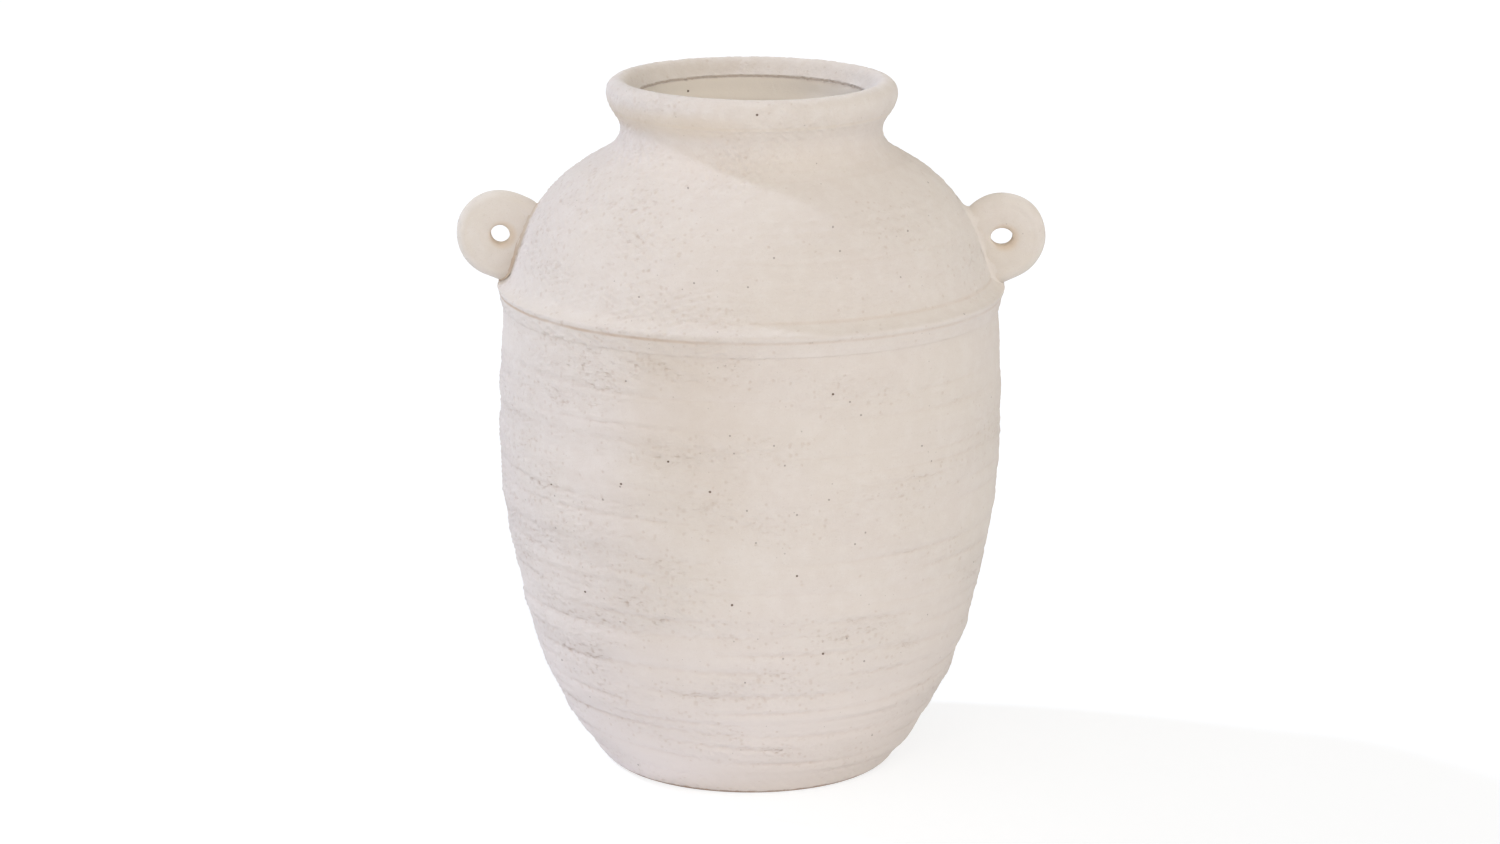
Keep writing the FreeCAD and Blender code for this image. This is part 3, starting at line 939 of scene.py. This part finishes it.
mouth_light_and_shade = (mouth_light_and_shade_group(), mouth_tints)
mouth_lip = 1.0 * mm
mouth_radius = neck_bore - mouth_lip
tongue_gap = 0.15 * mm
tongue_bore = mouth_radius + tongue_gap
bore_step = 1.2 * mm


def bore_relief(turn, height):
    """The inside as thrown, smoothed away towards the mouth."""
    return lining_relief(turn, height) * np.clip((tongue_top - height) / (tongue_top - waist[1]), 0, 1)


neck_runs = [(upper_outline.stretch(neck_joint[1], rim_seat[1], neck_step), neck_relief)]
neck_runs += straight_runs(rim_seat, (neck_bore + tongue_width, rim_seat[1]),
                           (neck_bore + tongue_width, tongue_top), (tongue_bore, tongue_top))
neck_runs += straight_runs((tongue_bore, tongue_top), (neck_bore, waist[1]),
                           relief=bore_relief, step=bore_step)
neck_runs += [(upper_lining.stretch(joint_inside[1], waist[1], dome_inner_step)[::-1], lining_relief)]
neck_runs += straight_runs(joint_inside, (joint_inside[0], neck_joint[1]), neck_joint)
waisted_neck = turned_piece("waisted_neck", neck_runs, neck_columns)
bore_speck_pixels = [(688, 91)]
bore_line_points = 200
bore_line = np.array([((mouth_radius + neck_bore) / 2, z)
                      for z in np.linspace(waist[1], tongue_top, bore_line_points)])
bore_specks = marked_specks("specks inside the mouth", bore_speck_pixels, bore_line, side=-1)
neck_clay = fired_clay("neck clay", drag=0.25, pits=0.2, stains=(mouth_light_and_shade, bore_specks))
settle(waisted_neck, neck_clay, "thrown_clay", "neck_collar")

# Rim roll
# A thick coil is folded over the tongue of the neck and rounded with a wet cloth.
# The mouth is bevelled with a blade, which leaves crumbs of clay on its lower edge.
rim_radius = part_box("rim_roll")[1].x
rim_height = 13.6 * mm
mouth_lip_edge = 1.5 * mm
rim_outline_shares = ((0.893, 0.206), (0.983, 0.434), (1.0, 0.603), (0.959, 0.772),
                      (0.793, 0.934), (0.537, 1.0), (0.339, 0.904), (0.140, 0.676))
rim_columns = 480
rim_step = 0.45 * mm
mouth_edge = (mouth_radius, tongue_top + mouth_lip_edge)
roll_low = (mouth_radius, rim_seat[1])
roll_high = (rim_radius, rim_seat[1] + rim_height)
roll = smooth_line([rim_seat] + between(roll_low, roll_high, *rim_outline_shares) + [mouth_edge])
rim_lumps = hand_waves(51, 30, (10 * mm, 60 * mm), (8 * mm, 30 * mm))
rim_lump_depth = 0.06 * mm
rim_blend = 4 * mm
crumbs = hand_waves(52, 60, (3 * mm, 12 * mm), (2 * mm, 5 * mm))
crumb_depth, crumb_share, crumb_most_share = 0.5 * mm, 0.3, 2


def rim_relief(turn, height):
    """A soft hand-rounded face, lumpy along the top, that runs out of the neck's face at its seat."""
    free = np.clip((height - rim_seat[1]) / rim_blend, 0, 1)
    face = (wobble_depth * wobble(turn, height) + rim_lump_depth * rim_lumps(turn, height)
            + lump_depth * lumps(turn, height))
    return free * face + (1 - free) * neck_relief(turn, height)


def crumb_relief(turn, height):
    """Crumbs that the blade pushed over the mouth's lower edge."""
    patchy = np.clip(crumb_share + rim_lumps(turn, 0 * height), 0, 1)
    return crumb_depth * patchy * np.clip(crumbs(turn, height), 0, crumb_most_share)


rim_runs = [(spaced(roll, rim_step), rim_relief)]
rim_runs += straight_runs(mouth_edge, (mouth_radius, tongue_top), relief=crumb_relief, step=rim_step)
rim_runs += straight_runs((mouth_radius, tongue_top), (neck_bore + tongue_width, tongue_top),
                          (neck_bore + tongue_width, rim_seat[1]), rim_seat)
rolled_rim = turned_piece("rolled_rim", rim_runs, rim_columns)
rim_speck_pixels = ((757, 115), (800, 108))
rim_specks = marked_specks("specks on the rim", rim_speck_pixels, roll)
rim_clay = fired_clay("rim clay", mottle=0.5, sand=0.5, pits=0.3, drag=0.15,
                      stains=(mouth_light_and_shade, rim_specks))
settle(rolled_rim, rim_clay, "rim_clay", "rim_roll")

# Lugs
# Each lug is a thick disc patted out by hand, pressed hollow with a finger and pierced for a cord.
# It is keyed into the scored shoulder while both are leather hard.
lug_radius = 18.5 * mm
lug_thickness = 9.6 * mm
lug_half = lug_thickness / 2
lug_hole_radius = 4.0 * mm
lug_hollow_width = 4.4 * mm
lug_hollow_depth = 1.4 * mm
lug_key_depth = 1.2 * mm
core_lift = 0.5 * mm
core_points = 60
finger_ring = 13.4 * mm
finger_ring_half = 1.5 * mm
finger_ring_share = 0.07
hole_round, hole_round_in, hollow_middle_depth = 0.5 * mm, 0.35 * mm, 0.55 * mm
lug_uneven, lug_swells = 0.16 * mm, range(2, 9)
dent_share, dent_run, dent_swells, dent_spread = 0.022, 3.125 * mm, range(1, 12), math.sqrt(12)
lug_columns = 300
lug_step = 0.55 * mm
lug_edge_points = 40
right_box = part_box("right_lug")
lug_centre = (right_box[1].x - lug_radius, right_box[1].z - lug_radius)
hollow_edge = lug_hole_radius + lug_hollow_width
bore_half = lug_half - lug_hollow_depth


def lug_section():
    """The closed section of a lug, from its bore out over the front and back again, as radius and depth."""
    hollow = smooth_line([(lug_hole_radius, bore_half - hole_round),
                          (lug_hole_radius + hole_round_in, bore_half),
                          (lug_hole_radius + lug_hollow_width / 2, lug_half - hollow_middle_depth),
                          (hollow_edge, lug_half)])
    flat_edge = lug_radius - lug_half
    turned_edge = [(flat_edge + lug_half * math.cos(a), lug_half * math.sin(a))
                   for a in np.linspace(math.pi / 2, -math.pi / 2, lug_edge_points)]
    flat = spaced(((hollow_edge, lug_half), (flat_edge, lug_half)), lug_step)
    front = np.concatenate((spaced(hollow, lug_step), flat[1:]))
    back = front[::-1] * (1, -1)
    bore = spaced((back[-1], front[0]), lug_step)[1:-1]
    return np.concatenate((front, spaced(turned_edge, lug_step)[1:-1], back, bore))


def web_of(turn, webs):
    """How far the clay drawn out towards the shoulder stands beyond the round of a lug."""
    return sum(np.exp(-(turn_from(middle, turn) / half) ** 2) * height for middle, half, height in webs)


def pressed_piece(name, places):
    """A piece from a grid of points that joins up both ways."""
    faces = grid_faces(*places.shape[:2])[2][:, (0, 3, 2, 1)]
    mesh = bpy.data.meshes.new(name)
    mesh.from_pydata(places.reshape(-1, 3).tolist(), [], faces.tolist())
    mesh.shade_smooth()
    work = bmesh.new()
    work.from_mesh(mesh)
    bmesh.ops.recalc_face_normals(work, faces=work.faces)
    work.to_mesh(mesh)
    work.free()
    return linked(name, mesh)


def ring_waves(draw, turns, sizes, shift=0):
    """Random waves round a ring, from the number of swells in each and their usual height."""
    return sum(draw.normal(0, size) * np.cos(k * turns + draw.uniform(0, whole_turn) + shift)
               for k, size in sizes.items())


def lug_piece(name, side, hole_size, webs, seed):
    """A disc turned about its own hole, with its hole, outline and faces worked by hand."""
    turns = np.arange(lug_columns) * whole_turn / lug_columns
    draw = np.random.default_rng(seed)
    out, depth = lug_section().T[:, :, None]
    inner = np.clip((hollow_edge - out) / lug_hollow_width, 0, 1)
    outer = np.clip((out - hollow_edge) / (lug_radius - hollow_edge), 0, 1)
    hole = 1 / np.sqrt((np.cos(turns) / hole_size[0]) ** 2 + (np.sin(turns) / hole_size[1]) ** 2)
    uneven = ring_waves(draw, turns, {k: lug_uneven / k for k in lug_swells})
    out = out + inner * (hole - lug_hole_radius) + outer * (uneven + web_of(turns, webs))
    dents = ring_waves(draw, turns, dict.fromkeys(dent_swells, 1), out / dent_run) / dent_spread
    finger = np.exp(-((out - finger_ring) / finger_ring_half) ** 2)
    depth = depth * (1 + dent_share * dents - finger_ring_share * finger)
    x = side * (lug_centre[0] - out * np.cos(turns))
    places = np.stack((x, -side * depth + 0 * x, lug_centre[1] + out * np.sin(turns)), axis=2)
    return pressed_piece(name, places)


def seat_core():
    """All that lies inside the scored seat of the lugs, as one turned solid to cut them with."""
    heights = np.linspace(band_lip[1] + core_lift, neck_joint[1], core_points)
    face = np.array([upper_outline.beside(z, -lug_key_depth) for z in heights])
    runs = straight_runs((0, face[0, 1]), tuple(face[0])) + [(face, None)]
    runs += straight_runs(tuple(face[-1]), (0, face[-1, 1]))
    core = turned_piece("seat_core", runs, dome_columns, closed=False)
    close_hubs(core)
    return core


seat_angle = math.radians(38)


def cut_to_seat(piece, core):
    """Trims a lug to its seat."""
    trim = piece.modifiers.new("seat", "BOOLEAN")
    trim.operation = "DIFFERENCE"
    trim.solver = "EXACT"
    trim.object = core
    seen = piece.evaluated_get(bpy.context.evaluated_depsgraph_get())
    mesh = bpy.data.meshes.new_from_object(seen)
    piece.modifiers.clear()
    piece.data = mesh
    mesh.set_sharp_from_angle(angle=seat_angle)


def web(middle, half, height):
    """Clay drawn out at an angle of the lug, over a spread of angles."""
    return math.radians(middle), math.radians(half), height


left_webs = (web(36, 19, 1.6 * mm), web(-80, 17, 2.2 * mm))
right_webs = (web(36, 14, 0.2 * mm), web(-76, 20, 3.0 * mm))
left_disc = lug_piece("left_handle_disc", -1, (4.05 * mm, 4.1 * mm), left_webs, 61)
right_disc = lug_piece("right_handle_disc", 1, (4.7 * mm, 3.9 * mm), right_webs, 62)
core = seat_core()
lug_tint = (0.745, 0.680, 0.600, 1)
# Painted shade in the hollow round each cord hole.
hole_shade_tint = (0.66, 0.49, 0.31, 1)
hole_shade_shift, hole_shade_reach, hole_shade_share = 1.2 * mm, 3.0 * mm, 0.42


def hole_shade_share_of(tree, place):
    """Painted shade: brown in the finger hollow round the cord hole, most of it to the right, away from the
    key lamp.
    """
    parts = parts_of(tree, place)
    middle = math_of(tree, "MULTIPLY_ADD", math_of(tree, "SIGN", parts["X"]), lug_centre[0], hole_shade_shift)
    off = math_of(tree, "SUBTRACT", parts["X"], middle)
    rise = math_of(tree, "SUBTRACT", parts["Z"], lug_centre[1])
    away = add(tree, "ShaderNodeCombineXYZ", {"X": off, "Y": 0.0, "Z": rise}).outputs[0]
    away = vector_of(tree, "LENGTH", away)["Value"]
    return ramp_of(tree, away, lug_hole_radius, lug_hole_radius + hole_shade_reach, hole_shade_share, 0.0)


lug_hole_shade = stain("painted shade by the cord hole", "Brown", hole_shade_tint, hole_shade_share_of)
lug_clay = fired_clay("lug clay", tints=(lug_tint, clay_tint, pale_tint), share=0.06, sand=0.30,
                      pits=0.2, drag=0.1, stains=[lug_hole_shade])
for disc, node in ((left_disc, "left_lug"), (right_disc, "right_lug")):
    cut_to_seat(disc, core)
    settle(disc, lug_clay, "lug_clay", node)
core_mesh = core.data
bpy.data.objects.remove(core)
bpy.data.meshes.remove(core_mesh)

# Lug seams
# Soft clay is worked into the corner round each lug's root with a wooden tool.
# The right one is smoothed to a wide pale fillet, the left one to a narrow one, coloured brown as painted
# shade in the corner at the lug's root.
seam_points = 96
root_low, root_high = 0.05, math.pi * 0.75
halvings = 40
seam_rise_points = 7
seam_thin_reach = 5 * mm
seam_thin_share = 0.25
seam_uneven, seam_swells, seam_end_shares = 0.28, range(1, 12), (0.45, 1.6)
seam_sink_shares, seam_root_shares = np.array((-0.05, -0.13)), np.array((-0.25, -0.25))
seam_angle = math.radians(50)


def root_of(angle, depth, webs):
    """How far a point of a lug's edge lies outside the dome, and where it is."""
    edge = lug_radius - lug_half + math.sqrt(max(lug_half ** 2 - depth ** 2, 0))
    out = edge + web_of(angle, webs)
    place = (lug_centre[0] - out * math.cos(angle), depth, lug_centre[1] + out * math.sin(angle))
    return math.hypot(place[0], place[1]) - upper_outline.radius_at(place[2]), place


def crossing(depth, webs, low, high):
    """Where the edge of a lug goes into the dome, found by halving between two angles."""
    for _ in range(halvings):
        middle = (low + high) / 2
        if root_of(middle, depth, webs)[0] < 0:
            low = middle
        else:
            high = middle
    return root_of(middle, depth, webs)[1]


def seam_path(webs):
    """The closed line round a lug's root, up its front, over its top and down its back."""
    top_depths = np.linspace(-lug_half, lug_half, seam_points // 4)
    over = [crossing(d, webs, root_low, root_high) for d in top_depths]
    under = [crossing(d, webs, -root_low, -root_high) for d in top_depths]
    rising = np.linspace(0, 1, seam_points // 2)[1:-1]
    front_heights = under[0][2] + rising * (over[0][2] - under[0][2])
    path = [(math.sqrt(upper_outline.radius_at(z) ** 2 - lug_half ** 2), -lug_half, z) for z in front_heights]
    back = [(x, -y, z) for x, y, z in reversed(path)]
    return np.array(path + over + back + under[::-1])


def seam_piece(name, side, webs, widths, seed):
    """A small hollow fillet swept round a lug's root."""
    path = seam_path(webs)
    count = len(path)
    run = unit(np.roll(path, -1, axis=0) - np.roll(path, 1, axis=0))
    slopes = np.array([upper_outline.beside(z, 1.0) for z in path[:, 2]])
    turn = np.arctan2(path[:, 1], path[:, 0])
    out = slopes[:, 0] - upper_outline.radius_at(path[:, 2])
    square = np.stack((out * np.cos(turn), out * np.sin(turn), slopes[:, 1] - path[:, 2]), axis=1)
    away = unit(np.cross(run, square))
    inward = np.sum(away * (path - (lug_centre[0], 0, lug_centre[1])), axis=1) < 0
    away[inward] *= -1
    draw = np.random.default_rng(seed)
    ring = np.arange(count) * whole_turn / count
    uneven = 1 + ring_waves(draw, ring, {k: seam_uneven / math.sqrt(k) for k in seam_swells})
    foot = path[:, 2].min()
    thinned = np.interp(path[:, 2], (foot, foot + seam_thin_reach), (seam_thin_share, 1))
    uneven = (np.clip(uneven, *seam_end_shares) * thinned)[:, None]
    curve = np.linspace(0, 1, seam_rise_points)
    section = [np.array(((1 - s) ** 2, s ** 2)) + seam_sink_shares for s in curve] + [seam_root_shares]
    rows = [path + uneven * (away * s[0] * widths[0] + square * s[1] * widths[1]) for s in section]
    piece = pressed_piece(name, np.stack(rows, axis=1) * (side, side, 1))
    piece.data.set_sharp_from_angle(angle=seam_angle)
    return piece


# Painted shade: the left seam is coloured brown for the shade in the corner at the lug's root.
seam_shade_tint = (0.50, 0.33, 0.20, 1)
shaded_seam_clay = fired_clay("seam clay with painted shade", tints=(seam_shade_tint, lug_tint, clay_tint), share=0.02,
                            sand=0.3, drag=0.3)
right_seam_clay = fired_clay("smoothed seam clay", tints=(pale_tint, clay_tint, pale_tint), share=0.02,
                             sand=0.15, pits=0.05, drag=0.05)
left_luting = seam_piece("left_handle_luting", -1, left_webs, (2.1 * mm, 1.6 * mm), 71)
right_luting = seam_piece("right_handle_luting", 1, right_webs, (4.6 * mm, 3.2 * mm), 72)
settle(left_luting, shaded_seam_clay, "seam_clay", "left_lug_seam")
settle(right_luting, right_seam_clay, "seam_clay", "right_lug_seam")

# Studio
# A plain pale floor, a cool key from the left and behind, and broad soft boxes in front, above, at the left
# and at the back. The camera stands where the photograph's own curves of rim, rings and foot place it.
floor_half = 12.0
floor_tint = (0.92, 0.93, 0.95, 1)
floor_show_tint = (0.34, 0.34, 0.34, 1)
floor_glow = 0.76
sky_tint = (0.04, 0.04, 0.04, 1)


def seen_directly(tree):
    """One for rays from the camera, and for what shows in gloss or through glass."""
    path = add(tree, "ShaderNodeLightPath", {}).outputs
    share = math_of(tree, "MAXIMUM", path["Is Camera Ray"], path["Is Glossy Ray"])
    return math_of(tree, "MAXIMUM", share, path["Is Transmission Ray"])


floor_mesh = bpy.data.meshes.new("studio_floor")
floor_mesh.from_pydata([(-floor_half, -floor_half, 0), (floor_half, -floor_half, 0),
                        (floor_half, floor_half, 0), (-floor_half, floor_half, 0)], [], [(0, 1, 2, 3)])
studio_floor = linked("studio_floor", floor_mesh)
floor_paper = bpy.data.materials.new("white paper")
floor_paper.use_nodes = True
paper = floor_paper.node_tree
paper.nodes.remove(paper.nodes["Principled BSDF"])
lit_paper = add(paper, "ShaderNodeBsdfDiffuse", {"Color": floor_tint}).outputs[0]
shown_paper = add(paper, "ShaderNodeBsdfDiffuse", {"Color": floor_show_tint}).outputs[0]
glow = add(paper, "ShaderNodeEmission", {"Strength": floor_glow}).outputs[0]
shown_sum = add(paper, "ShaderNodeAddShader", {0: shown_paper, 1: glow}).outputs[0]
choice = add(paper, "ShaderNodeMixShader", {0: seen_directly(paper), 1: lit_paper, 2: shown_sum}).outputs[0]
paper.links.new(choice, paper.nodes["Material Output"].inputs["Surface"])
floor_mesh.materials.append(floor_paper)

sky = bpy.data.worlds.new("studio sky")
sky.use_nodes = True
air = sky.node_tree
even = air.nodes["Background"]
even.inputs["Color"].default_value = sky_tint
white = add(air, "ShaderNodeBackground", {"Color": (1, 1, 1, 1), "Strength": 1.0}).outputs[0]
both = add(air, "ShaderNodeMixShader", {0: seen_directly(air), 1: even.outputs[0], 2: white}).outputs[0]
air.links.new(both, air.nodes["World Output"].inputs["Surface"])
bpy.context.scene.world = sky


def direction(azimuth, elevation):
    """The way to a light or the camera: azimuth 0 is in front of the jar, and it grows towards the right."""
    a, e = math.radians(azimuth), math.radians(elevation)
    return Vector((math.sin(a) * math.cos(e), -math.cos(a) * math.cos(e), math.sin(e)))


def soft_lamp(name, tint, strength, softness, azimuth, elevation):
    lamp = bpy.data.lights.new(name, "SUN")
    lamp.color = tint
    lamp.energy = strength
    lamp.angle = math.radians(softness)
    holder = linked(name, lamp)
    holder.rotation_mode = "QUATERNION"
    holder.rotation_quaternion = direction(azimuth, elevation).to_track_quat("Z", "Y")


soft_lamp("key_lamp", (0.63, 0.74, 1.0), strength=1.58, softness=4, azimuth=-108.8, elevation=42)
soft_lamp("front_box", (1.0, 0.978, 0.930), strength=3.22, softness=120, azimuth=25, elevation=-5)
soft_lamp("high_box", (1.0, 0.99, 0.90), strength=0.45, softness=80, azimuth=8, elevation=62)
soft_lamp("side_box", (0.885, 0.905, 1.0), strength=1.58, softness=120, azimuth=-60, elevation=5)
soft_lamp("back_box", (1.0, 1.0, 1.0), strength=0.60, softness=120, azimuth=180, elevation=30)

sensor_width = 36.0
sight_reach = 100
eye = bpy.data.cameras.new("camera")
eye.sensor_width = sensor_width
eye.lens = sensor_width * focal_pixels / picture_width
eye.clip_end = sight_reach
camera = linked("camera", eye)
toward = direction(0, math.degrees(camera_pitch))
camera.location = camera_place
camera.rotation_mode = "QUATERNION"
camera.rotation_quaternion = toward.to_track_quat("Z", "Y") @ Quaternion((0, 0, 1), camera_roll)
bpy.context.scene.camera = camera
bpy.context.scene.view_settings.view_transform = "Standard"
